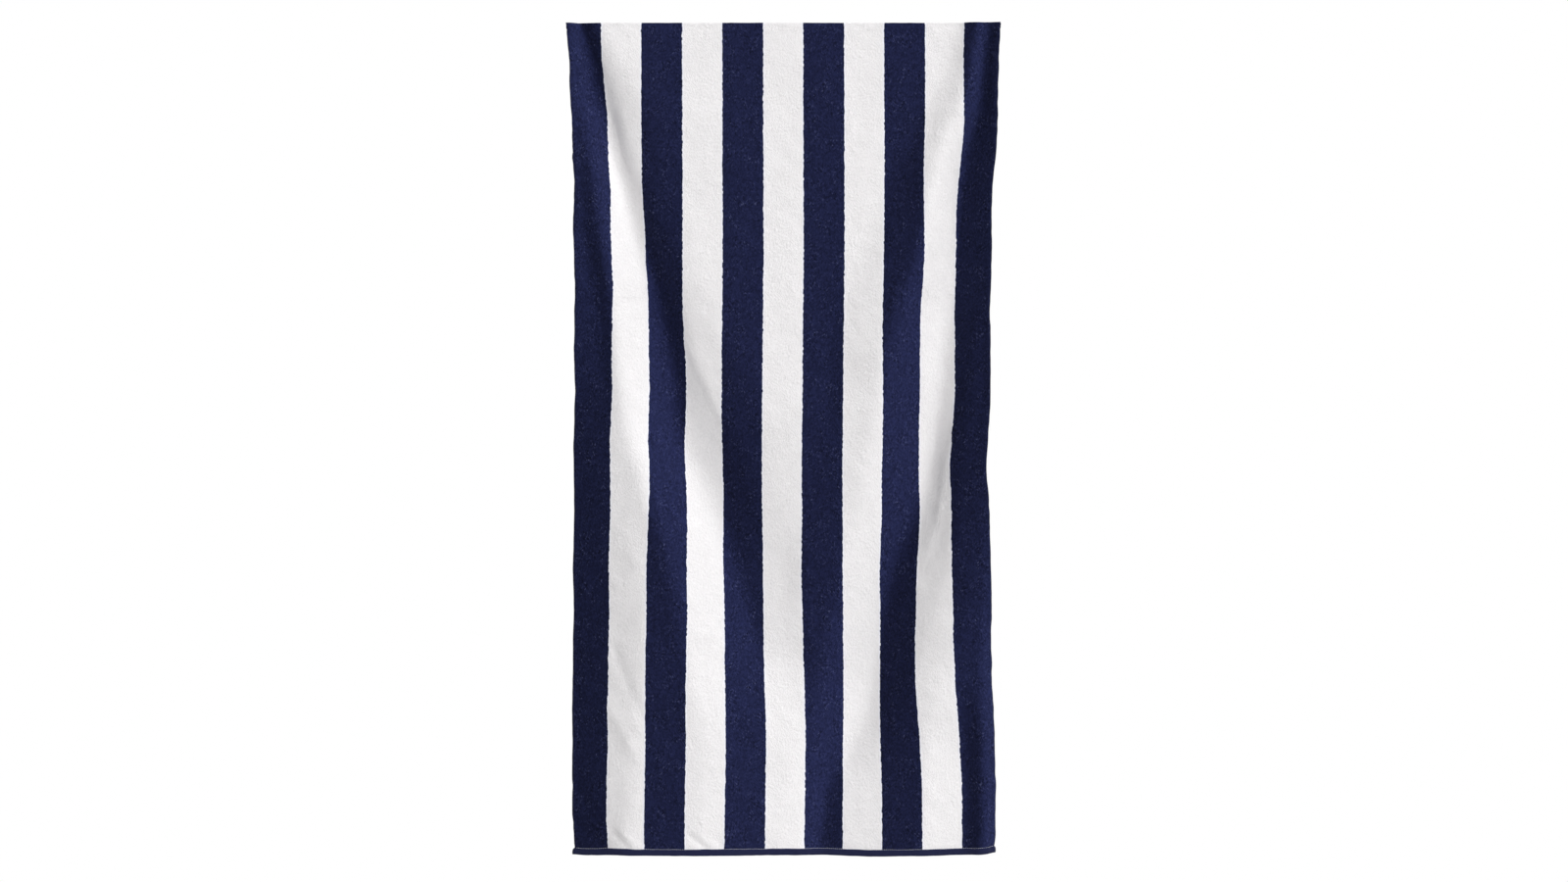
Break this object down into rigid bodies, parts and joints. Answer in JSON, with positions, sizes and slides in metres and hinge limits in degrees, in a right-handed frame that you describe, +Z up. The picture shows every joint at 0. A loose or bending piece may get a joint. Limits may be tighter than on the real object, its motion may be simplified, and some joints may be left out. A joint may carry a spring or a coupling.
{
  "type": "beach towel",
  "caption": "Long rectangular terry beach towel with lengthways stripes, hemmed at both ends, hanging flat from its top edge with soft diagonal folds.",
  "frame": {"origin": "middle of the cloth's top edge, where whatever holds the towel up takes it", "axes": "+Z up along the towel's length, front face towards -Y, +X to the right seen from the front"},
  "size_m": [0.7895, 0.1088, 1.5012],
  "materials": {
    "terry_cloth": "cotton terry, velour face, navy and white warp stripes",
    "hem_thread": "pale cotton sewing thread"
  },
  "bodies": {
    "root": {"towel": "terry_cloth"}
  },
  "joints": []
}
